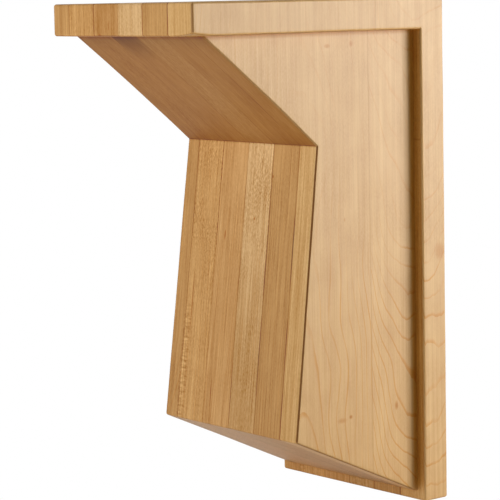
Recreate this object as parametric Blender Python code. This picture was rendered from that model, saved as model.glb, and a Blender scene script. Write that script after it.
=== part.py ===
"""A hardwood wall corbel: a block glued up from maple boards and sawn to shape as one piece.

Seen from the side, a flat shelf and a flat back form an L. The bracket between them is set in a
little from both sides of the L. Its front is cut away in three flats: a soffit that slopes down and
back from under the shelf, a tall front face that leans slightly forward, and a sloping underside
that runs back to the foot of the back. All outer edges are eased.

Metres, +Z up. The wall is the plane Y = 0, the corbel stands out from it towards -Y, and the origin
is the centre of the face that lies on the wall.
"""

import math

import bmesh
import bpy
from mathutils import Vector

# Driving dimensions, in metres.
WIDTH = 0.133              # across the shelf and the back
DEPTH = 0.1905             # from the wall to the front edge of the shelf
HEIGHT = 0.305             # from the foot of the back to the top of the shelf
SHELF_THICKNESS = 0.0188   # height of the shelf's front edge
BACK_THICKNESS = 0.019     # depth of the back's side edge
SIDE_RECESS = 0.006        # the bracket is set in this far from each side of the L
SHELF_LIP = 0.012          # the soffit starts this far behind the shelf's front edge
KNEE_SETBACK = 0.0948      # soffit meets front face: distance behind the shelf's front edge
KNEE_DROP = 0.0845         # and below the top of the shelf
TOE_SETBACK = 0.0736       # lowest point of the front face: distance behind the shelf's front edge
TOE_HEIGHT = 0.0498        # and above the foot of the back
HEEL_HEIGHT = 0.0054       # the underside meets the back this far above the foot of the back
SOFFIT_HOLLOW = 0.0007     # the sawn soffit is hollow by this much at its middle
EDGE_RADIUS = 0.0012       # eased edges

SOFFIT_STEPS = 8           # flats along the hollow soffit
EDGE_SEGMENTS = 2          # flats around an eased edge

TOP = HEIGHT / 2
FOOT = -HEIGHT / 2
FRONT = -DEPTH
UNDER_SHELF = TOP - SHELF_THICKNESS
BACK_FRONT = -BACK_THICKNESS


def wood_material():
    """Pale oiled maple, from the lit side of the block."""
    mat = bpy.data.materials.new("oiled_maple")
    mat.use_nodes = True
    shader = mat.node_tree.nodes["Principled BSDF"]
    shader.inputs["Base Color"].default_value = (0.62, 0.42, 0.23, 1.0)
    shader.inputs["Roughness"].default_value = 0.55
    shader.inputs["Metallic"].default_value = 0.0
    return mat


def l_outline():
    """Side view of the shelf and the back, as (y, z) points."""
    return [
        (0.0, FOOT),
        (0.0, TOP),
        (FRONT, TOP),
        (FRONT, UNDER_SHELF),
        (BACK_FRONT, UNDER_SHELF),
        (BACK_FRONT, FOOT),
    ]


def soffit_points():
    """The soffit from under the shelf to the knee: a shallow arc, hollow towards the wall."""
    start = Vector((FRONT + SHELF_LIP, UNDER_SHELF))
    knee = Vector((FRONT + KNEE_SETBACK, TOP - KNEE_DROP))
    chord = knee - start
    into_wood = Vector((-chord.y, chord.x)).normalized()
    points = []
    for step in range(SOFFIT_STEPS + 1):
        t = step / SOFFIT_STEPS
        points.append(start + chord * t + into_wood * SOFFIT_HOLLOW * 4 * t * (1 - t))
    return [(p.x, p.y) for p in points]


def bracket_outline():
    """Side view of the bracket. Its top and its back end halfway into the shelf and the back."""
    inside_back = BACK_FRONT / 2
    inside_shelf = TOP - SHELF_THICKNESS / 2
    heel = (BACK_FRONT, FOOT + HEEL_HEIGHT)
    return [
        (inside_back, inside_shelf),
        (FRONT + SHELF_LIP, inside_shelf),
        *soffit_points(),
        (FRONT + TOE_SETBACK, FOOT + TOE_HEIGHT),
        heel,
        (inside_back, heel[1]),
    ]


def extrude_outline(name, outline, width):
    """A closed solid: the (y, z) outline carried across X, centred on the YZ plane."""
    bm = bmesh.new()
    face = bm.faces.new([bm.verts.new((-width / 2, y, z)) for y, z in outline])
    extruded = bmesh.ops.extrude_face_region(bm, geom=[face])["geom"]
    moved = [v for v in extruded if isinstance(v, bmesh.types.BMVert)]
    bmesh.ops.translate(bm, verts=moved, vec=(width, 0.0, 0.0))
    bmesh.ops.recalc_face_normals(bm, faces=bm.faces)
    ease_outer_edges(bm)
    mesh = bpy.data.meshes.new(name)
    bm.to_mesh(mesh)
    bm.free()
    obj = bpy.data.objects.new(name, mesh)
    bpy.context.collection.objects.link(obj)
    return obj


def ease_outer_edges(bm):
    """Rounds every edge that stands out; inner corners and the flats of the soffit stay as cut."""
    outer = [e for e in bm.edges if e.calc_face_angle_signed() > math.radians(15)]
    bmesh.ops.bevel(bm, geom=outer, offset=EDGE_RADIUS, offset_type="OFFSET",
                    segments=EDGE_SEGMENTS, profile=0.5, affect="EDGES", clamp_overlap=True)


def build_corbel():
    corbel = extrude_outline("corbel", l_outline(), WIDTH)
    bracket = extrude_outline("bracket_cut", bracket_outline(), WIDTH - 2 * SIDE_RECESS)
    bracket.hide_render = True
    bracket.display_type = "WIRE"
    join = corbel.modifiers.new("bracket", "BOOLEAN")
    join.operation = "UNION"
    join.solver = "EXACT"
    join.object = bracket
    corbel.data.materials.append(wood_material())
    return corbel


def main():
    for obj in list(bpy.data.objects):
        bpy.data.objects.remove(obj, do_unlink=True)
    build_corbel()


main()
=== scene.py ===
"""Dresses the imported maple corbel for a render: an eased, hand-sanded mesh in place of the plain
solid, the wood itself, and a small studio.

Metres. The wall is the plane Y = 0, the corbel stands out towards -Y, and +Z is up. The wood's
pattern is laid out from the same origin in millimetres.
"""

import math
from types import SimpleNamespace

import bmesh
import bpy
from bpy.props import FloatProperty, FloatVectorProperty, IntProperty, PointerProperty
from mathutils import Matrix, Vector, noise


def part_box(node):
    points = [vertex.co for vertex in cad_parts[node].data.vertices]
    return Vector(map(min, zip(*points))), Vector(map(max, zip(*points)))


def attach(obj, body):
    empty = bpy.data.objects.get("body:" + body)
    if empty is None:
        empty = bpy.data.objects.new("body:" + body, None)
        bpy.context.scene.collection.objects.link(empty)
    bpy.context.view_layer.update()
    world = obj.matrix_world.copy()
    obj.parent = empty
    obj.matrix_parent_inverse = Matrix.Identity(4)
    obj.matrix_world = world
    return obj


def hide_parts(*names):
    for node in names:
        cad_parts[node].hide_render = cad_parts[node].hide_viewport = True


bl_info = {
    "name": "Maple Corbel",
    "version": (1, 0, 0),
    "blender": (4, 5, 0),
    "location": "3D View > Sidebar > Corbel",
    "description": "Builds an oiled maple wall corbel and a studio to look at it in",
    "category": "Object",
}

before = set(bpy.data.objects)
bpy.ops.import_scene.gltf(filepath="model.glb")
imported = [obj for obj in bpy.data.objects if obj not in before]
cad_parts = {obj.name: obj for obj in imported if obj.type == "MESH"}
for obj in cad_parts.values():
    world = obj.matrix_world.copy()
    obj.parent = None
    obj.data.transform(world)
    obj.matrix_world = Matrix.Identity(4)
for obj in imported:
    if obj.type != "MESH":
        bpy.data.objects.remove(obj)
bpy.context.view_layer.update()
LOW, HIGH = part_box("corbel")
WIDTH = HIGH.x - LOW.x
# Millimetres in a metre.
MM = 1000.0

# Glue planes between the six boards, in millimetres across the width from the middle.
GLUE_PLANES = (-50.0, -25.9, -2.1, 21.2, 44.4)
# How dark each of those glue lines is.
GLUE_STRENGTH = (0.6, 0.5, 0.6, 0.95, 0.95)
# The sixth board is itself joined from two staves, at this distance from the wall (mm).
STAVE_JOINT = -55.0

# For each board: the middle of its growth rings across and out from the wall (mm), the lean of the
# rings as they climb, and how strongly it is flecked. The last entry is the sixth board's rear
# stave.
BOARDS = (
    (-140.0, -30.0, 0.02, 0.15),
    (-110.0, -170.0, -0.03, 1.0),
    (70.0, -150.0, 0.02, 0.2),
    (-80.0, -60.0, 0.015, 1.0),
    (110.0, -140.0, -0.02, 0.2),
    (150.0, -110.0, 0.03, 0.15),
    (135.0, -14.0, -0.13, 0.15),
)
# How much deeper in colour each board gets over 100 mm towards the foot.
DEEPENING = (0.0, -0.2, 0.6, 3.0, 0.7, 0.0)
# The most that a ring centre (mm), a lean and a deepening may be, either way. Values for a board
# are kept as shares of these, because a colour ramp holds only 0 to 1.
CENTRE_REACH, LEAN_REACH, DEEPENING_REACH = 200.0, 0.5, 3.0

# What one step deeper takes from the wood's red, green and blue, and the least that is left.
DEEPER = (-0.06, -0.09, -0.16)
DEEPEST = (0.25, 0.2, 0.12)

# Pin knots and dark streaks: place (mm), half sizes (mm) and darkness.
KNOTS = (
    ((60.5, -86.9, 125.6), (2.0, 3.4, 1.8), 0.45),
    ((60.5, -68.3, 126.4), (2.0, 2.3, 2.6), 0.5),
    ((60.5, -75.3, 24.0), (2.0, 0.7, 1.8), 0.5),
    ((60.5, -79.5, -95.0), (2.0, 5.2, 2.2), 0.4),
    ((60.5, -72.6, -93.6), (2.0, 1.7, 1.7), 0.9),
    ((60.5, -35.5, -91.6), (2.0, 1.8, 3.6), 0.8),
    ((22.3, -99.2, 49.0), (0.8, 4.0, 1.2), 0.75),
    ((7.8, -102.1, 23.3), (0.8, 4.0, 1.2), 1.0),
    ((-18.3, -103.4, 12.0), (0.7, 4.0, 3.8), 0.8),
    ((-20.4, -113.6, -85.0), (0.55, 5.0, 10.0), 0.6),
    ((-11.1, -190.5, 139.5), (0.5, 3.0, 3.5), 0.4),
    ((-20.1, -190.5, 134.6), (1.2, 3.0, 0.8), 0.5),
    ((56.5, -177.0, 134.5), (2.2, 2.2, 3.0), 0.35),
    ((-44.6, -107.0, -36.0), (0.5, 9.0, 30.0), 0.5),
    ((66.5, -5.0, 0.0), (2.0, 4.5, 6.5), 0.3),
)


class CorbelSizes(bpy.types.PropertyGroup):
    """Sizes of the corbel. Width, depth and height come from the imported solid."""

    shelf_thickness: FloatProperty(
        name="Shelf thickness", description="Height of the shelf's front edge",
        default=0.0188, unit="LENGTH", precision=4)
    back_thickness: FloatProperty(
        name="Back thickness", description="Depth of the back's side edge",
        default=0.019, unit="LENGTH", precision=4)
    side_recess: FloatProperty(
        name="Side recess", description="The bracket is set in this far from each side",
        default=0.006, unit="LENGTH", precision=4)
    shelf_lip: FloatProperty(
        name="Shelf lip", description="The soffit starts this far behind the shelf's front edge",
        default=0.0121, unit="LENGTH", precision=4)
    knee_setback: FloatProperty(
        name="Knee setback", description="From the shelf's front edge back to the knee",
        default=0.0948, unit="LENGTH", precision=4)
    knee_drop: FloatProperty(
        name="Knee drop", description="From the top of the shelf down to the knee",
        default=0.0845, unit="LENGTH", precision=4)
    toe_setback: FloatProperty(
        name="Toe setback", description="From the shelf's front edge back to the toe",
        default=0.0754, unit="LENGTH", precision=4)
    toe_height: FloatProperty(
        name="Toe height", description="From the foot of the back up to the toe",
        default=0.0489, unit="LENGTH", precision=4)
    heel_height: FloatProperty(
        name="Heel height", description="The underside meets the back this far above the foot",
        default=0.0054, unit="LENGTH", precision=4)
    bracket_offset: FloatProperty(
        name="Bracket offset", description="How far the bracket sits off the middle of the shelf",
        default=-0.001, min=-0.003, max=0.003, unit="LENGTH", precision=4)
    toe_wind: FloatVectorProperty(
        name="Toe wind", description="How far out and up the toe stands at the far side",
        default=(0.0, -0.0036, 0.0017), size=3, subtype="TRANSLATION", unit="LENGTH", precision=4)
    soffit_hollow: FloatProperty(
        name="Soffit hollow", description="The sawn soffit is hollow by this much at its middle",
        default=0.0007, unit="LENGTH", precision=4)
    shelf_round: FloatProperty(
        name="Shelf edge radius", description="Radius of the eased edges of the shelf and back",
        default=0.0015, min=0.0003, max=0.004, unit="LENGTH", precision=4)
    bracket_round: FloatProperty(
        name="Bracket edge radius", description="Radius of the eased edges of the bracket",
        default=0.0012, min=0.0003, max=0.004, unit="LENGTH", precision=4)
    corner_sanding: FloatProperty(
        name="Corner sanding", description="How far the shelf's near lower corner is sanded up",
        default=0.0015, min=0.0, max=0.003, unit="LENGTH", precision=4)
    unevenness: FloatProperty(
        name="Unevenness", description="How far hand sanding leaves the flats off true",
        default=0.00015, min=0.0, max=0.0005, unit="LENGTH", precision=5)
    cell: FloatProperty(
        name="Mesh cell", description="Spacing of the cuts that divide the flats",
        default=0.005, min=0.002, max=0.02, unit="LENGTH", precision=4)
    round_steps: IntProperty(
        name="Edge steps", description="Flats around an eased edge", default=5, min=2, max=8)


def linear(hex_colour):
    """The linear red, green and blue of an sRGB hex colour."""
    values = [int(hex_colour[i:i + 2], 16) / 255 for i in (1, 3, 5)]
    return [v / 12.92 if v <= 0.04045 else ((v + 0.055) / 1.055) ** 2.4 for v in values]


def colour(name, description, hex_colour):
    """A colour property that starts at an sRGB hex value."""
    return FloatVectorProperty(name=name, description=description, subtype="COLOR", size=3,
                               min=0.0, max=1.0, default=linear(hex_colour))


class MapleWood(bpy.types.PropertyGroup):
    """Colours, pattern sizes and sheen of the six boards."""

    board_1: colour("Board 1", "Colour of the board at the far side", "#B08145")
    board_2: colour("Board 2", "Colour of the second board", "#B98A4D")
    board_3: colour("Board 3", "Colour of the third board", "#B8894E")
    board_4: colour("Board 4", "Colour of the fourth and palest board", "#BB925C")
    board_5: colour("Board 5", "Colour of the fifth board", "#AE8044")
    board_6: colour("Board 6", "Colour of the board at the near side", "#BF955A")
    # Painted shade: the downward-facing soffit is given this darker, more saturated colour.
    soffit_shade: colour("Soffit shade", "Colour of the sawn soffit, where the boards look alike", "#A4702A")
    ring_width: FloatProperty(
        name="Ring width", description="Growth of one year", default=0.0021,
        unit="LENGTH", precision=4)
    fibre_width: FloatProperty(
        name="Fibre width", description="Width of the fine streaks along the grain",
        default=0.0007, unit="LENGTH", precision=5)
    glue_width: FloatProperty(
        name="Glue line width", description="Width of a glue line", default=0.0006,
        unit="LENGTH", precision=5)
    planed_roughness: FloatProperty(
        name="Planed roughness", description="Roughness of the planed and oiled sides",
        default=0.42, subtype="FACTOR", min=0.0, max=1.0)
    sawn_roughness: FloatProperty(
        name="Sawn roughness", description="Roughness of the sawn and sanded front and soffit",
        default=0.6, subtype="FACTOR", min=0.0, max=1.0)


class CorbelStudio(bpy.types.PropertyGroup):
    """Floor and lights."""

    floor: colour("Floor", "Colour of the pale floor", "#E8E6E2")
    side_power: FloatProperty(
        name="Side softbox", description="Power of the softbox behind the near side",
        default=23.1, min=0.0, unit="POWER")
    front_power: FloatProperty(
        name="Front softbox", description="Power of the softbox in front",
        default=18.2, min=0.0, unit="POWER")
    rear_power: FloatProperty(
        name="Rear softbox", description="Power of the softbox above the far side and the back",
        default=8.0, min=0.0, unit="POWER")
    floor_glow: FloatProperty(
        name="Floor glow", description="How brightly the sheet is lit through from below",
        default=0.22, min=0.0, max=2.0)
    surround: FloatProperty(
        name="Surround", description="Brightness of the dim room around the lights",
        default=0.06, min=0.0, max=2.0)


def add(tree, kind, inputs=None, out=0, **settings):
    """Adds a node with its settings, links or sets its inputs, and returns one of its outputs."""
    node = tree.nodes.new(kind)
    for name, value in settings.items():
        setattr(node, name, value)
    for socket, value in (inputs or {}).items():
        if isinstance(value, bpy.types.NodeSocket):
            tree.links.new(value, node.inputs[socket])
        else:
            node.inputs[socket].default_value = value
    return node.outputs[out]


MATH = "ShaderNodeMath"
VECTOR = "ShaderNodeVectorMath"
NOISE = "ShaderNodeTexNoise"
SPLIT = "ShaderNodeSeparateXYZ"
# Its inputs 0 to 4: the value, where the value starts and ends, and what comes out at each.
RANGE = "ShaderNodeMapRange"
# Its inputs for two colours, and its output for a colour.
MIX, COLOUR_A, COLOUR_B, COLOUR_OUT = "ShaderNodeMix", 6, 7, 2
WHITE = (1.0, 1.0, 1.0, 1.0)
# Faces are rated from 0, sawn, to 1, planed or end grain. The change runs between these.
SAWN, PLANED = 0.3, 0.8
# A noise stays mostly between these.
NOISE_LOW, NOISE_HIGH = 0.3, 0.7


def share_of(value, reach):
    """A value between -reach and reach as one between 0 and 1."""
    return value / (2 * reach) + 0.5


def by_board(tree, at, values):
    """Gives each of the six boards its own colour, or its own numbers from 0 to 1."""
    output = add(tree, "ShaderNodeValToRGB", {0: at.across})
    ramp = output.node.color_ramp
    ramp.interpolation = "CONSTANT"
    starts = [0.0] + [(plane + at.half) / (2 * at.half) for plane in GLUE_PLANES]
    while len(ramp.elements) < len(starts):
        ramp.elements.new(1.0)
    for element, start, value in zip(ramp.elements, starts, values):
        element.position = start
        element.color = (*value[:3], value[3] if len(value) > 3 else 1.0)
    return output


def near(tree, coordinate, middle, inner, outer, strength=1.0):
    """A mask with its full strength up to inner from a middle, and none beyond outer."""
    away = add(tree, MATH, {0: coordinate, 1: middle}, operation="SUBTRACT")
    away = add(tree, MATH, {0: away}, operation="ABSOLUTE")
    return add(tree, RANGE, {0: away, 1: inner, 2: outer, 3: strength, 4: 0.0})


def places_in_block(tree, sizes):
    """Where a point is in the block in millimetres, which board it is in, and where the corbel's
    faces are. One solid pattern runs through every face."""
    at = SimpleNamespace()
    at.place = add(tree, VECTOR, {0: add(tree, "ShaderNodeTexCoord", out="Object"), "Scale": MM},
                   operation="SCALE")
    at.x = add(tree, SPLIT, {0: at.place})
    at.y, at.z = at.x.node.outputs["Y"], at.x.node.outputs["Z"]
    at.half = WIDTH / 2 * MM
    at.front, at.foot = LOW.y * MM, LOW.z * MM
    at.back_front = (HIGH.y - sizes.back_thickness) * MM
    at.under_shelf = (HIGH.z - sizes.shelf_thickness) * MM
    at.knee = (HIGH.z - sizes.knee_drop) * MM

    at.across = add(tree, RANGE, {0: at.x, 1: -at.half, 2: at.half, 3: 0.0, 4: 1.0})
    rings = [(share_of(across, CENTRE_REACH), share_of(out, CENTRE_REACH),
              share_of(lean, LEAN_REACH), fleck) for across, out, lean, fleck in BOARDS]
    at.rings = by_board(tree, at, rings[:-1])
    at.flecked = at.rings.node.outputs["Alpha"]
    at.last_board = add(tree, MATH, {0: at.x, 1: GLUE_PLANES[-1]}, operation="GREATER_THAN")
    at.rear_stave = add(tree, MATH, {0: at.y, 1: STAVE_JOINT}, operation="GREATER_THAN")
    at.rear_stave = add(tree, MATH, {0: at.rear_stave, 1: at.last_board}, operation="MULTIPLY")
    at.rings = add(tree, MIX, {0: at.rear_stave, COLOUR_A: at.rings,
                               COLOUR_B: (*rings[-1][:3], 1.0)}, out=COLOUR_OUT, data_type="RGBA")

    # Each board, and the rear stave, is cut from a far-off place of its own in the pattern.
    at.seed = by_board(tree, at, [((i * 0.37) % 1, (i * 0.61) % 1, (i * 0.83) % 1)
                                  for i in range(1, 7)])
    at.own = add(tree, VECTOR, {0: at.seed, 1: (700.0, 500.0, 900.0), 2: at.place},
                 operation="MULTIPLY_ADD")
    further = add(tree, VECTOR, {0: at.rear_stave, "Scale": 333.0}, operation="SCALE")
    at.own = add(tree, VECTOR, {0: at.own, 1: further}, operation="ADD")
    return at


def cut_of_face(tree):
    """Which way the surface faces: planed sides, sawn soffit, or burnished end grain."""
    cut = SimpleNamespace()
    facing = add(tree, SPLIT, {0: add(tree, "ShaderNodeNewGeometry", out="True Normal")})
    cut.planed = add(tree, MATH, {0: facing}, operation="ABSOLUTE")
    downward = add(tree, MATH, {0: facing.node.outputs["Z"], 1: -1.0}, operation="MULTIPLY")
    cut.soffit = near(tree, downward, 0.78, 0.05, 0.08)
    cut.level = add(tree, MATH, {0: downward}, operation="ABSOLUTE")
    end_grain = add(tree, RANGE, {0: cut.level, 1: 0.84, 2: 0.9, 3: 0.0, 4: 1.0})
    cut.smooth = add(tree, MATH, {0: cut.planed, 1: end_grain}, operation="MAXIMUM")
    # The figure is calmer on the sawn soffit.
    cut.calm = add(tree, RANGE, {0: cut.soffit, 3: 1.0, 4: 0.35})
    return cut


def wood_noises(tree, at, cut, wood):
    """The noises in the wood, by name, with the width and length of their grains (mm).

    Real fibres and pores are a few hundredths of a millimetre wide. Those too fine to show are
    drawn as coarse as they need to be to show.
    """
    # The front and the soffit slope, so there the grain is drawn out from front to back too, or
    # its streaks would break up.
    drawn = add(tree, RANGE, {0: cut.smooth, 1: SAWN, 2: PLANED, 3: 0.1, 4: 1.0})
    drawn = add(tree, "ShaderNodeCombineXYZ", {0: 1.0, 1: drawn, 2: 1.0})
    grain = add(tree, VECTOR, {0: at.own, 1: drawn}, operation="MULTIPLY")
    noises = {}
    for name, where, width, length, detail, roughness in (
            # Waves in the growth rings.
            ("broad", at.own, 45.0, 90.0, 1.0, 0.5),
            ("close", at.own, 9.0, 45.0, 2.0, 0.5),
            # Where the growth lines fade, and where the glue lines do.
            ("fade", at.own, 8.0, 50.0, 1.0, 0.5),
            ("patchy", at.own, 50.0, 35.0, 1.0, 0.5),
            # Fibres: fine streaks along the grain, drawn coarse.
            ("fibre", grain, wood.fibre_width * MM, 60.0, 2.0, 0.6),
            # Threads: longer and a little wider than the fibres.
            ("thread", grain, 1.1, 200.0, 3.0, 0.6),
            # Bands a few millimetres wide that run the length of a board.
            ("band", grain, 3.5, 160.0, 2.0, 0.6),
            # Clouds: soft patches.
            ("cloud", grain, 16.0, 28.0, 2.0, 0.6),
            # Speckle: the cut ends of rays and pores, drawn coarse. Ray flecks are the same size.
            ("speckle", grain, 0.6, 1.8, 1.0, 0.6),
            # Curl: bars across the grain.
            ("curl", grain, 6.0, 1.4, 1.0, 0.6)):
        scaled = add(tree, VECTOR, {0: where, 1: (1 / width, 1 / width, 1 / length)},
                     operation="MULTIPLY")
        noises[name] = add(tree, NOISE, {"Vector": scaled, "Scale": 1.0, "Detail": detail,
                                         "Roughness": roughness})
    return noises


def growth_lines(tree, at, cut, noises, wood):
    """The thin dark line that ends each year, in wavy rings around the middle of the tree."""
    reach = Vector((CENTRE_REACH, CENTRE_REACH, LEAN_REACH))
    centre = add(tree, VECTOR, {0: at.rings, 1: 2 * reach, 2: -reach}, operation="MULTIPLY_ADD")
    lean = add(tree, SPLIT, {0: centre}, out="Z")
    flat = add(tree, VECTOR, {0: at.place, 1: centre}, operation="SUBTRACT")
    flat = add(tree, VECTOR, {0: flat, 1: (1.0, 1.0, 0.0)}, operation="MULTIPLY")
    radius = add(tree, VECTOR, {0: flat}, out="Value", operation="LENGTH")
    for wave, amount in ((at.z, lean), (noises["broad"], 12.0), (noises["close"], 1.1)):
        radius = add(tree, MATH, {0: wave, 1: amount, 2: radius}, operation="MULTIPLY_ADD")
    year = add(tree, MATH, {0: radius, 1: wood.ring_width * MM}, operation="DIVIDE")
    whole = add(tree, MATH, {0: year}, operation="FLOOR")
    part = add(tree, MATH, {0: year}, operation="FRACT")
    line = add(tree, RANGE, {0: part, 1: 0.80, 2: 0.97, 3: 0.0, 4: 1.0},
               interpolation_type="SMOOTHERSTEP")
    end = add(tree, RANGE, {0: part, 1: 0.985, 2: 1.0, 3: 1.0, 4: 0.0})
    line = add(tree, MATH, {0: line, 1: end}, operation="MULTIPLY")

    # Some years are stronger than others, and each line fades here and there.
    of_board = add(tree, VECTOR, {0: at.seed, 1: (7.0, 5.0, 3.0)}, out="Value",
                   operation="DOT_PRODUCT")
    strong = add(tree, "ShaderNodeTexWhiteNoise",
                 {"W": of_board, "Vector": add(tree, "ShaderNodeCombineXYZ", {0: whole})},
                 noise_dimensions="4D")
    strong = add(tree, RANGE, {0: strong, 1: 0.25, 2: 1.0, 3: 0.25, 4: 1.0})
    fade = add(tree, RANGE, {0: noises["fade"], 1: 0.38, 2: 0.62, 3: 0.35, 4: 1.0})
    # Low on the rear stave every year shows, less so on the edge of the back.
    clear = add(tree, RANGE, {0: at.z, 1: 30.0, 2: -30.0, 3: 0.0, 4: 0.75})
    on_edge = add(tree, RANGE, {0: at.y, 1: at.back_front - 1.0, 2: at.back_front + 1.0, 3: 1.0,
                                4: 0.6})
    for share in (at.rear_stave, on_edge):
        clear = add(tree, MATH, {0: clear, 1: share}, operation="MULTIPLY")
    for share in (strong, fade):
        share = add(tree, MATH, {0: share, 1: clear}, operation="MAXIMUM")
        line = add(tree, MATH, {0: line, 1: share}, operation="MULTIPLY")
    # All of them get fainter towards the shelf.
    fainter = add(tree, RANGE, {0: at.z, 1: -30.0, 2: 60.0, 3: 1.0, 4: 0.35})
    line = add(tree, MATH, {0: line, 1: fainter}, operation="MULTIPLY")
    # Low on the planed sides they are stronger, but not on the rear stave, which has its own.
    low_side = add(tree, RANGE, {0: at.z, 1: 20.0, 2: -60.0, 3: 0.0, 4: 1.3})
    on_side = add(tree, RANGE, {0: cut.planed, 1: 0.7, 2: 0.9, 3: 0.0, 4: 1.0})
    not_rear = add(tree, MATH, {0: 1.0, 1: at.rear_stave}, operation="SUBTRACT")
    for share in (on_side, not_rear):
        low_side = add(tree, MATH, {0: low_side, 1: share}, operation="MULTIPLY")
    return add(tree, MATH, {0: line, 1: low_side, 2: line}, operation="MULTIPLY_ADD")


def figure(tree, at, cut, noises):
    """How deep the fibres, threads, bands, clouds, speckle, flecks and curl make the colour."""
    fine = add(tree, RANGE, {0: cut.planed, 1: SAWN, 2: PLANED, 3: 1.0, 4: 0.36})
    fine = add(tree, MATH, {0: fine, 1: cut.calm}, operation="MULTIPLY")
    # Flecks are reddish dashes that lie in patches, most of them from half height up to the shelf.
    patches = add(tree, RANGE, {0: noises["cloud"], 1: 0.38, 2: 0.58, 3: 0.3, 4: 1.0})
    above_middle = add(tree, RANGE, {0: at.z, 1: -25.0, 2: 15.0, 3: 0.4, 4: 1.0})
    below_top = add(tree, RANGE, {0: at.z, 1: 124.0, 2: 134.0, 3: 1.0, 4: 0.4})
    high_up = add(tree, MATH, {0: above_middle, 1: below_top}, operation="MINIMUM")
    # Curl shows low down, in a strip along the second board's far edge.
    curled = near(tree, at.x, -47.5, 2.0, 4.5)
    low_down = add(tree, RANGE, {0: at.z, 1: -25.0, 2: -45.0, 3: 0.0, 4: 1.0})

    # Every board is deeper towards the foot, each by its own amount.
    low = add(tree, RANGE, {0: at.z, 1: -75.0, 2: 75.0, 3: 0.75, 4: -0.75})
    deepening = by_board(tree, at, [(share_of(d, DEEPENING_REACH),) * 3 for d in DEEPENING])
    deepening = add(tree, RANGE, {0: deepening, 1: 0.0, 2: 1.0, 3: -DEEPENING_REACH,
                                  4: DEEPENING_REACH})
    depth = add(tree, MATH, {0: low, 1: deepening}, operation="MULTIPLY")
    for name, palest, deepest, shares in (
            ("fibre", -1.9, 1.9, (fine,)),
            ("thread", -2.2, 2.2, (fine,)),
            ("band", -0.8, 0.8, ()),
            ("cloud", -0.9, 0.9, ()),
            ("speckle", -0.8, 0.8, (fine,)),
            ("speckle", -3.0, 3.6, (at.flecked, patches, cut.calm, high_up)),
            ("curl", -3.6, 3.6, (curled, low_down))):
        extra = add(tree, RANGE, {0: noises[name], 1: NOISE_LOW, 2: NOISE_HIGH, 3: palest,
                                  4: deepest}, clamp=False)
        for share in shares:
            extra = add(tree, MATH, {0: extra, 1: share}, operation="MULTIPLY")
        depth = add(tree, MATH, {0: depth, 1: extra}, operation="ADD")
    return depth


def painted_corner_shade(tree, at, outside, below_shelf):
    """Painted shade: darkens the inner corners where the bracket meets the shelf and the back."""
    inset = near(tree, at.x, 0.0, at.half - 1.3, at.half - 0.3)
    beside = add(tree, MATH, {0: at.x}, operation="ABSOLUTE")
    on_wall = add(tree, RANGE, {0: at.y, 1: at.back_front - 4.0, 2: at.back_front - 0.5, 3: 0.0,
                                4: 1.0}, interpolation_type="SMOOTHSTEP")
    deeper_in = add(tree, RANGE, {0: beside, 1: at.half - 5.5, 2: at.half - 3.5, 3: 2.6, 4: 1.3})
    on_wall = add(tree, MATH, {0: on_wall, 1: deeper_in}, operation="MULTIPLY")
    on_shelf = add(tree, RANGE, {0: at.z, 1: at.under_shelf - 2.7, 2: at.under_shelf - 0.2, 3: 0.0,
                                 4: 2.5})
    above_foot = add(tree, RANGE, {0: at.z, 1: at.foot + 4.5, 2: at.foot + 12.5, 3: 0.05, 4: 1.0})
    corner_shade = add(tree, MATH, {0: on_wall, 1: on_shelf}, operation="MAXIMUM")
    for share in (inset, below_shelf, above_foot, outside):
        corner_shade = add(tree, MATH, {0: corner_shade, 1: share}, operation="MULTIPLY")
    return corner_shade


def painted_edge_shade(tree, at, cut, below_shelf):
    """Painted shade: a dark line on the bracket's eased edges, where they face partly sideways, and
    on the shelf's front corner.
    """
    # Only on an eased edge does the surface face partly sideways.
    sideways = add(tree, MATH, {0: cut.planed, 1: cut.planed}, operation="MULTIPLY")
    rest = add(tree, MATH, {0: 1.0, 1: sideways}, operation="SUBTRACT")
    edge_shade = add(tree, MATH, {0: rest, 1: sideways}, operation="MULTIPLY")
    edge_shade = add(tree, RANGE, {0: edge_shade, 1: 0.075, 2: 0.17, 3: 0.0, 4: 1.0})
    sloping = add(tree, RANGE, {0: cut.level, 1: 0.15, 2: 0.4, 3: 1.0, 4: 0.45})
    on_front = add(tree, RANGE, {0: at.y, 1: at.front + 0.9, 2: at.front + 1.7, 3: 0.6, 4: 0.0})
    on_front = add(tree, MATH, {0: below_shelf, 1: on_front}, operation="MAXIMUM")
    off_wall = add(tree, RANGE, {0: at.y, 1: at.back_front - 3.0, 2: at.back_front - 5.0, 3: 0.0,
                                 4: 1.0})
    for share in (sloping, on_front, off_wall):
        edge_shade = add(tree, MATH, {0: edge_shade, 1: share}, operation="MULTIPLY")
    return edge_shade


def glue_lines(tree, at, cut, noises, wood):
    """Thin dark lines between the boards, patchy along their length."""
    glue = None
    for plane, strength in zip(GLUE_PLANES, GLUE_STRENGTH):
        joint = near(tree, at.x, plane, 0.2, wood.glue_width * MM, strength)
        glue = joint if glue is None else add(tree, MATH, {0: glue, 1: joint}, operation="MAXIMUM")
    patchy = add(tree, RANGE, {0: noises["patchy"], 1: 0.35, 2: 0.6, 3: 0.4, 4: 1.0})
    glue = add(tree, MATH, {0: glue, 1: patchy}, operation="MULTIPLY")
    # The joint between the two staves is faint.
    joint = near(tree, at.y, STAVE_JOINT, 0.0, 0.8, 0.22)
    joint = add(tree, MATH, {0: joint, 1: at.last_board}, operation="MULTIPLY")
    glue = add(tree, MATH, {0: glue, 1: joint}, operation="MAXIMUM")
    return add(tree, MATH, {0: glue, 1: cut.calm}, operation="MULTIPLY")


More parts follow.
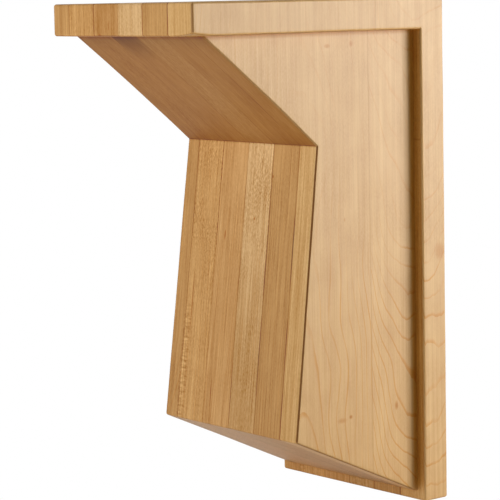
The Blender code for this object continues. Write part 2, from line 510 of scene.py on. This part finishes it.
def pin_knots(tree, at):
    """Pin knots and dark streaks, each a soft spot of its own size."""
    knots = None
    for place, half_sizes, darkness in KNOTS:
        away = add(tree, VECTOR, {0: at.place, 1: place}, operation="SUBTRACT")
        away = add(tree, VECTOR, {0: away, 1: half_sizes}, operation="DIVIDE")
        away = add(tree, VECTOR, {0: away}, out="Value", operation="LENGTH")
        knot = add(tree, RANGE, {0: away, 1: 0.3, 2: 1.1, 3: darkness, 4: 0.0},
                   interpolation_type="SMOOTHSTEP")
        knots = knot if knots is None else add(tree, MATH, {0: knots, 1: knot}, operation="MAXIMUM")
    return knots


def maple_oiled(wood, sizes):
    """Maple boards, glued up, sanded and oiled.

    The grain runs up the block, so the sides show long faces, the front shows board edges with
    straight fine lines and flecks, and the top and foot show end grain. Oil gives it a satin sheen.
    """
    material = bpy.data.materials.new("maple_oiled")
    material.use_nodes = True
    tree = material.node_tree
    shader = tree.nodes["Principled BSDF"]
    at = places_in_block(tree, sizes)
    cut = cut_of_face(tree)
    noises = wood_noises(tree, at, cut, wood)
    lines = growth_lines(tree, at, cut, noises, wood)

    # Not the wall face, and not the shelf.
    outside = add(tree, RANGE, {0: at.y, 1: at.back_front + 0.3, 2: at.back_front + 1.5, 3: 1.0,
                                4: 0.0})
    below_shelf = add(tree, RANGE, {0: at.z, 1: at.under_shelf - 0.2, 2: at.under_shelf + 0.8,
                                    3: 1.0, 4: 0.0})
    # Painted shade in the inner corners.
    corner_shade = painted_corner_shade(tree, at, outside, below_shelf)
    # Painted shade: a dark line on the eased edges.
    edge_shade = painted_edge_shade(tree, at, cut, below_shelf)
    # Painted shade: the downward-facing sawn soffit is darkened, most of all down by the knee. The
    # fourth board is darker on the soffit too.
    soffit_shade = add(tree, RANGE, {0: at.z, 1: at.knee + 10.0, 2: at.knee + 1.0, 3: 3.5, 4: 5.3})
    soffit_shade = add(tree, MATH, {0: soffit_shade, 1: cut.soffit}, operation="MULTIPLY")
    fourth = near(tree, at.x, sum(GLUE_PLANES[2:4]) / 2, 11.5, 11.8, 1.1)
    fourth = add(tree, MATH, {0: fourth, 1: cut.soffit}, operation="MULTIPLY")
    # Painted shade: a dark line right in the knee crease, across the front only.
    knee_shade = near(tree, at.z, at.knee, 0.2, 0.9, 3.0)
    not_side = add(tree, RANGE, {0: cut.planed, 1: 0.2, 2: 0.4, 3: 1.0, 4: 0.0})
    for share in (not_side, outside):
        knee_shade = add(tree, MATH, {0: knee_shade, 1: share}, operation="MULTIPLY")
    # The third board has a darker patch at its top front, which is darkest on the soffit.
    patch = add(tree, VECTOR, {0: at.place, 1: (-14.0, -188.0, 143.0)}, operation="SUBTRACT")
    patch = add(tree, VECTOR, {0: patch, 1: (24.0, 40.0, 30.0)}, operation="DIVIDE")
    patch = add(tree, VECTOR, {0: patch}, out="Value", operation="LENGTH")
    patch = add(tree, RANGE, {0: patch, 1: 0.4, 2: 1.1, 3: 3.0, 4: 0.0})
    third = near(tree, at.x, sum(GLUE_PLANES[1:3]) / 2, 11.7, 12.1)
    patch = add(tree, MATH, {0: patch, 1: third}, operation="MULTIPLY")
    smudge = add(tree, MATH, {0: patch, 1: cut.soffit}, operation="MULTIPLY")
    # The rear stave is paler, most of all on the bracket.
    paler = add(tree, RANGE, {0: at.y, 1: at.back_front - 1.0, 2: at.back_front + 1.0, 3: -0.5,
                              4: -0.2})
    # The last board is deeper on the front, and the first four are on the shelf's front.
    on_front = add(tree, RANGE, {0: cut.smooth, 1: SAWN, 2: PLANED, 3: 0.6, 4: 0.0})
    first_four = add(tree, MATH, {0: at.x, 1: GLUE_PLANES[3]}, operation="LESS_THAN")
    shelf_front = add(tree, RANGE, {0: at.z, 1: at.under_shelf + 0.3, 2: at.under_shelf + 2.3,
                                    3: 0.0, 4: 0.9})
    shelf_front = add(tree, MATH, {0: shelf_front, 1: on_front}, operation="MULTIPLY")
    knots = pin_knots(tree, at)

    # The wood's colour gets deeper and redder with more of each of these. The inner corners, the
    # soffit and the knee crease get painted shade; the rest are the wood's own marks.
    depth = figure(tree, at, cut, noises)
    for extra, amount in ((corner_shade, 1.0), (soffit_shade, 1.0), (knee_shade, 1.0), (patch, 1.0), (fourth, 1.0),
                          (at.rear_stave, paler), (at.last_board, on_front),
                          (first_four, shelf_front),
                          (glue_lines(tree, at, cut, noises, wood), 11.0), (knots, 5.5)):
        depth = add(tree, MATH, {0: extra, 1: amount, 2: depth}, operation="MULTIPLY_ADD")
    deeper = add(tree, VECTOR, {0: DEEPER, "Scale": depth}, operation="SCALE")
    deeper = add(tree, VECTOR, {0: deeper, 1: (1.0, 1.0, 1.0)}, operation="ADD")
    deeper = add(tree, VECTOR, {0: deeper, 1: DEEPEST}, operation="MAXIMUM")
    boards = by_board(tree, at, [list(getattr(wood, f"board_{i}")) for i in range(1, 7)])
    # Painted shade: on the soffit the boards are mixed towards the darker soffit colour.
    alike = add(tree, MATH, {0: cut.soffit, 1: 0.7}, operation="MULTIPLY")
    boards = add(tree, MIX, {0: alike, COLOUR_A: boards, COLOUR_B: (*wood.soffit_shade, 1.0)},
                 out=COLOUR_OUT, data_type="RGBA")
    wood_colour = add(tree, VECTOR, {0: boards, 1: deeper}, operation="MULTIPLY")
    # Growth lines and knots are redder than the wood around them, and so are the painted shade in
    # the inner corners and the painted dark line on the eased edges.
    for mask, amount, tint in ((lines, 1.7, (0.92, 0.70, 0.27)), (knots, 1.4, (0.95, 0.66, 0.14)),
                               (corner_shade, 0.5, (1.0, 0.8, 0.32)), (smudge, 0.4, (0.7, 0.66, 0.4)),
                               (edge_shade, 1.0, (0.32, 0.2, 0.04))):
        mask = add(tree, MATH, {0: mask, 1: amount}, operation="MULTIPLY", use_clamp=True)
        redder = add(tree, VECTOR, {0: wood_colour, 1: tint}, operation="MULTIPLY")
        wood_colour = add(tree, MIX, {0: mask, COLOUR_A: wood_colour, COLOUR_B: redder},
                          out=COLOUR_OUT, data_type="RGBA")
    tree.links.new(wood_colour, shader.inputs["Base Color"])

    # The sawn front and soffit stay duller than the planed sides and the end grain, and the eased
    # edges with the painted dark line are duller still. The oil is a little rougher over the deeper
    # fibres.
    rough = add(tree, RANGE, {0: cut.smooth, 1: SAWN, 2: PLANED, 3: wood.sawn_roughness - 0.06,
                              4: wood.planed_roughness - 0.06})
    for extra, amount in ((noises["fibre"], 0.12), (edge_shade, 0.35)):
        rough = add(tree, MATH, {0: extra, 1: amount, 2: rough}, operation="MULTIPLY_ADD")
    tree.links.new(rough, shader.inputs["Roughness"])
    # Cured oil over wood.
    shader.inputs["IOR"].default_value = 1.46
    # Raised grain left by sanding, a few hundredths of a millimetre.
    bump = add(tree, "ShaderNodeBump", {"Height": noises["fibre"], "Strength": 0.35,
                                        "Distance": 0.00006})
    tree.links.new(bump, shader.inputs["Normal"])
    return material


# Edges of the solid that turn outwards by more than the first angle are eased. Edges of the mesh
# that turn by more than the second are shaded sharp.
OUTER_EDGE, SHARP_EDGE = math.radians(15), math.radians(32)
# The hollow soffit is made of this many flats.
SOFFIT_FLATS = 12
# Waves of the sanded flats, in noise cells to the metre, and the seed of their noise.
BROAD_WAVES, CLOSE_WAVES = 22, 70
SANDING_SEED = 11
# The toe's wind fades over this much in front of the back (m).
WIND_FADE = 0.07
# The shelf's near lower corner is worn this far along (m), and up this share of its front.
WORN_REACH, WORN_HEIGHT = 0.016, 0.7


def extrude_outline(outline, width, radius, round_steps):
    """A closed solid from a (y, z) outline carried across X, with its outer edges rounded."""
    bm = bmesh.new()
    face = bm.faces.new([bm.verts.new((-width / 2, y, z)) for y, z in outline])
    grown = bmesh.ops.extrude_face_region(bm, geom=[face])["geom"]
    bmesh.ops.translate(bm, verts=[v for v in grown if isinstance(v, bmesh.types.BMVert)],
                        vec=(width, 0.0, 0.0))
    bmesh.ops.recalc_face_normals(bm, faces=bm.faces)
    outer = [e for e in bm.edges if e.calc_face_angle_signed() > OUTER_EDGE]
    bmesh.ops.bevel(bm, geom=outer, offset=radius, offset_type="OFFSET", segments=round_steps,
                    profile=0.5, affect="EDGES", clamp_overlap=True)
    mesh = bpy.data.meshes.new("outline")
    bm.to_mesh(mesh)
    bm.free()
    return bpy.data.objects.new("outline", mesh)


def shelf_and_back(sizes):
    """The L that the shelf and the back make, seen from the side."""
    under, front, back = HIGH.z - sizes.shelf_thickness, LOW.y, HIGH.y - sizes.back_thickness
    return [(HIGH.y, LOW.z), (HIGH.y, HIGH.z), (front, HIGH.z), (front, under), (back, under),
            (back, LOW.z)]


def bracket(sizes):
    """The bracket seen from the side. Its top and back end halfway into the shelf and the back."""
    back, front = HIGH.y - sizes.back_thickness, LOW.y
    inside = (HIGH.y - sizes.back_thickness / 2, HIGH.z - sizes.shelf_thickness / 2)
    start = Vector((front + sizes.shelf_lip, HIGH.z - sizes.shelf_thickness))
    knee = Vector((front + sizes.knee_setback, HIGH.z - sizes.knee_drop))
    chord = knee - start
    into_wood = Vector((-chord.y, chord.x)).normalized()
    soffit = [start + chord * t + into_wood * sizes.soffit_hollow * 4 * t * (1 - t)
              for t in [i / SOFFIT_FLATS for i in range(SOFFIT_FLATS + 1)]]
    heel_z = LOW.z + sizes.heel_height
    return [inside, (start.x, inside[1]), *[(p.x, p.y) for p in soffit],
            (front + sizes.toe_setback, LOW.z + sizes.toe_height), (back, heel_z),
            (inside[0], heel_z)]


def cut_across(bm, axis, positions):
    """Cuts every flat at these positions along an axis."""
    for position in positions:
        point, normal = Vector((0, 0, 0)), Vector((0, 0, 0))
        point[axis], normal[axis] = position, 1.0
        bmesh.ops.bisect_plane(bm, geom=[*bm.verts, *bm.edges, *bm.faces], dist=1e-6,
                               plane_co=point, plane_no=normal)


def sanded(point, sizes):
    """Where hand sanding leaves a point of the block."""
    broad = noise.noise_vector(point * BROAD_WAVES)
    close = noise.noise_vector(point * CLOSE_WAVES + Vector((5, 3, 1)))
    moved = point + broad * sizes.unevenness
    moved += close * sizes.unevenness * 0.3
    # The front of the bracket winds: its toe stands further out at the far side.
    back, toe_z = HIGH.y - sizes.back_thickness, LOW.z + sizes.toe_height
    knee_z, heel_z = HIGH.z - sizes.knee_drop, LOW.z + sizes.heel_height
    if point.z > toe_z:
        share = (knee_z - point.z) / (knee_z - toe_z)
    else:
        share = (point.z - heel_z) / (toe_z - heel_z)
    half = WIDTH / 2 - sizes.side_recess
    share *= min(max((half + sizes.bracket_offset - point.x) / (2 * half), 0.0), 1.0)
    share *= min(max((back - point.y) / WIND_FADE, 0.0), 1.0)
    moved += Vector(sizes.toe_wind) * max(share, 0.0)
    # The shelf's near lower corner is worn up, most of all at the very corner.
    away = (Vector((point.x, point.y)) - Vector((HIGH.x, LOW.y))).length / WORN_REACH
    above = (point.z - (HIGH.z - sizes.shelf_thickness)) / sizes.shelf_thickness
    if away < 1 and -0.2 < above < WORN_HEIGHT:
        worn = (1 - away) ** 1.5 * max(0.0, 1 - max(above, 0) / WORN_HEIGHT)
        moved.z += sizes.corner_sanding * worn
    return Vector([min(max(m, low), high) for m, low, high in zip(moved, LOW, HIGH)])


def corbel_mesh(sizes):
    """The whole block as one closed mesh."""
    block = extrude_outline(shelf_and_back(sizes), WIDTH, sizes.shelf_round, sizes.round_steps)
    set_in = extrude_outline(bracket(sizes), WIDTH - 2 * sizes.side_recess, sizes.bracket_round,
                             sizes.round_steps)
    set_in.location.x = sizes.bracket_offset
    for obj in (block, set_in):
        bpy.context.scene.collection.objects.link(obj)
    join = block.modifiers.new("bracket", "BOOLEAN")
    join.operation, join.solver, join.object = "UNION", "EXACT", set_in
    joined = block.evaluated_get(bpy.context.evaluated_depsgraph_get()).to_mesh()
    bm = bmesh.new()
    bm.from_mesh(joined)
    for obj in (block, set_in):
        bpy.data.objects.remove(obj)
    # Even cells first, so that the flats can be made slightly uneven.
    for axis in range(3):
        size = HIGH[axis] - LOW[axis]
        count = math.ceil(size / sizes.cell)
        cut_across(bm, axis, [LOW[axis] + size * i / count for i in range(1, count)])
    # Then finer cuts around the worn corner.
    under = HIGH.z - sizes.shelf_thickness
    cut_across(bm, 0, [HIGH.x - d for d in (0.0025, 0.0035, 0.0075, 0.0125)])
    cut_across(bm, 1, [LOW.y + d for d in (0.0025, 0.0035, 0.0075)])
    cut_across(bm, 2, [under + d for d in (0.0025, 0.005, 0.0075, 0.01)])
    # The seed sets where the noise starts, which is otherwise new in each run.
    noise.seed_set(SANDING_SEED)
    for vert in bm.verts:
        vert.co = sanded(vert.co.copy(), sizes)
    mesh = bpy.data.meshes.new("maple_block")
    bm.to_mesh(mesh)
    bm.free()
    mesh.shade_smooth()
    mesh.set_sharp_from_angle(angle=SHARP_EDGE)
    return mesh


class CORBEL_OT_maple_block(bpy.types.Operator):
    """Builds the sanded, oiled maple block in place of the plain solid"""

    bl_idname = "corbel.maple_block"
    bl_label = "Maple Block"

    def execute(self, context):
        scene = context.scene
        block = bpy.data.objects.new("maple_block", corbel_mesh(scene.corbel_sizes))
        scene.collection.objects.link(block)
        block.data.materials.append(maple_oiled(scene.corbel_wood, scene.corbel_sizes))
        even = block.modifiers.new("even_normals", "WEIGHTED_NORMAL")
        even.keep_sharp = True
        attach(block, "root")
        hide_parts("corbel")
        return {"FINISHED"}


# Softboxes: name, place and size (m).
SOFTBOXES = (
    ("side_softbox", (1.03, 1.01, 0.26), (0.85, 0.8)),
    ("front_softbox", (-0.26, -1.6, 0.47), (0.7, 0.7)),
    ("rear_softbox", (-0.9, 0.4, 1.4), (1.0, 1.0)),
)
# They shine at a point in the middle of the corbel.
AIM = (0.0, -0.1, 0.0)
# Half the floor's width (m).
FLOOR_REACH = 6.0
# The camera: focal length and sensor width (mm), place (m), and how far it is turned to the left,
# dropped and rolled (degrees).
LENS, SENSOR = 156.71, 36.0
CAMERA_PLACE = (1.0040, -0.9215, 0.1545)
CAMERA_TURN, CAMERA_DROP, CAMERA_ROLL = 50.6586, 6.6274, 1.1398


def white_to_camera(tree, lit, kind, end):
    """Shows plain white to the camera, and lights the corbel as the shader beneath does."""
    seen = add(tree, "ShaderNodeLightPath", out="Is Camera Ray")
    white = add(tree, kind, {"Color": WHITE, "Strength": 1.0})
    both = add(tree, "ShaderNodeMixShader", {0: seen, 1: lit, 2: white})
    tree.links.new(both, tree.nodes[end].inputs["Surface"])


def acrylic_opal(studio):
    """Opal acrylic sheet, cast and satin, lit through from below.

    It shows as plain white, and it lights the wood as a pale floor would.
    """
    material = bpy.data.materials.new("acrylic_opal")
    material.use_nodes = True
    shader = material.node_tree.nodes["Principled BSDF"]
    shader.inputs["Base Color"].default_value = (*studio.floor, 1.0)
    shader.inputs["Roughness"].default_value = 0.6
    shader.inputs["Emission Color"].default_value = WHITE
    shader.inputs["Emission Strength"].default_value = studio.floor_glow
    white_to_camera(material.node_tree, shader.outputs[0], "ShaderNodeEmission", "Material Output")
    return material


def white_room(studio):
    """A dim white room around the lights, which shows as plain white too."""
    world = bpy.data.worlds.new("white_room")
    world.use_nodes = True
    dim = world.node_tree.nodes["Background"]
    dim.inputs["Color"].default_value = WHITE
    dim.inputs["Strength"].default_value = studio.surround
    white_to_camera(world.node_tree, dim.outputs[0], "ShaderNodeBackground", "World Output")
    return world


def pale_floor(studio):
    """The sheet that the corbel stands over, level with its foot."""
    bm = bmesh.new()
    bmesh.ops.create_grid(bm, x_segments=8, y_segments=8, size=FLOOR_REACH)
    mesh = bpy.data.meshes.new("floor")
    bm.to_mesh(mesh)
    bm.free()
    mesh.materials.append(acrylic_opal(studio))
    floor = bpy.data.objects.new("floor", mesh)
    floor.location.z = LOW.z
    return floor


def softbox(name, place, size, power):
    """A soft rectangular light that shines at the corbel and is left out of the picture."""
    data = bpy.data.lights.new(name, "AREA")
    data.shape, data.size, data.size_y = "RECTANGLE", *size
    data.energy = power
    light = bpy.data.objects.new(name, data)
    light.location = place
    light.rotation_euler = (Vector(AIM) - Vector(place)).to_track_quat("-Z", "Y").to_euler()
    light.visible_camera = False
    return light


def long_lens_camera():
    """The camera, well back with a long lens."""
    data = bpy.data.cameras.new("camera")
    data.lens, data.sensor_width = LENS, SENSOR
    camera = bpy.data.objects.new("camera", data)
    turn, drop, roll = (math.radians(a) for a in (CAMERA_TURN, CAMERA_DROP, CAMERA_ROLL))
    look = Vector((-math.sin(turn) * math.cos(drop), math.cos(turn) * math.cos(drop),
                   -math.sin(drop)))
    level = Vector((math.cos(turn), math.sin(turn), 0.0))
    below = look.cross(level)
    right = math.cos(roll) * level + math.sin(roll) * below
    up = math.sin(roll) * level - math.cos(roll) * below
    turned = Matrix((right, up, -look)).transposed().to_4x4()
    camera.matrix_world = Matrix.Translation(Vector(CAMERA_PLACE)) @ turned
    return camera


class CORBEL_OT_studio(bpy.types.Operator):
    """Adds the pale floor, the soft lights, the white surround and the camera"""

    bl_idname = "corbel.studio"
    bl_label = "Studio"

    def execute(self, context):
        scene = context.scene
        studio = scene.corbel_studio
        floor = pale_floor(studio)
        powers = (studio.side_power, studio.front_power, studio.rear_power)
        lights = [softbox(*box, power) for box, power in zip(SOFTBOXES, powers)]
        camera = long_lens_camera()
        for obj in (floor, *lights, camera):
            scene.collection.objects.link(obj)
        scene.world = white_room(studio)
        scene.camera = camera
        # Plain display colours keep the white ground white.
        scene.view_settings.view_transform = "Standard"
        return {"FINISHED"}


class CORBEL_PT_panel(bpy.types.Panel):
    """Sizes, colours and build buttons"""

    bl_idname = "CORBEL_PT_panel"
    bl_label = "Maple Corbel"
    bl_space_type = "VIEW_3D"
    bl_region_type = "UI"
    bl_category = "Corbel"

    def draw(self, context):
        for group, operator in ((context.scene.corbel_sizes, None),
                                (context.scene.corbel_wood, CORBEL_OT_maple_block.bl_idname),
                                (context.scene.corbel_studio, CORBEL_OT_studio.bl_idname)):
            box = self.layout.box()
            for name in type(group).__annotations__:
                box.prop(group, name)
            if operator:
                box.operator(operator)


CLASSES = (CorbelSizes, MapleWood, CorbelStudio, CORBEL_OT_maple_block, CORBEL_OT_studio,
           CORBEL_PT_panel)


def register():
    for cls in CLASSES:
        bpy.utils.register_class(cls)
    bpy.types.Scene.corbel_sizes = PointerProperty(type=CorbelSizes)
    bpy.types.Scene.corbel_wood = PointerProperty(type=MapleWood)
    bpy.types.Scene.corbel_studio = PointerProperty(type=CorbelStudio)


def unregister():
    del bpy.types.Scene.corbel_studio, bpy.types.Scene.corbel_wood, bpy.types.Scene.corbel_sizes
    for cls in reversed(CLASSES):
        bpy.utils.unregister_class(cls)


def main():
    register()
    bpy.ops.corbel.maple_block()
    bpy.ops.corbel.studio()


if __name__ == "__main__":
    main()
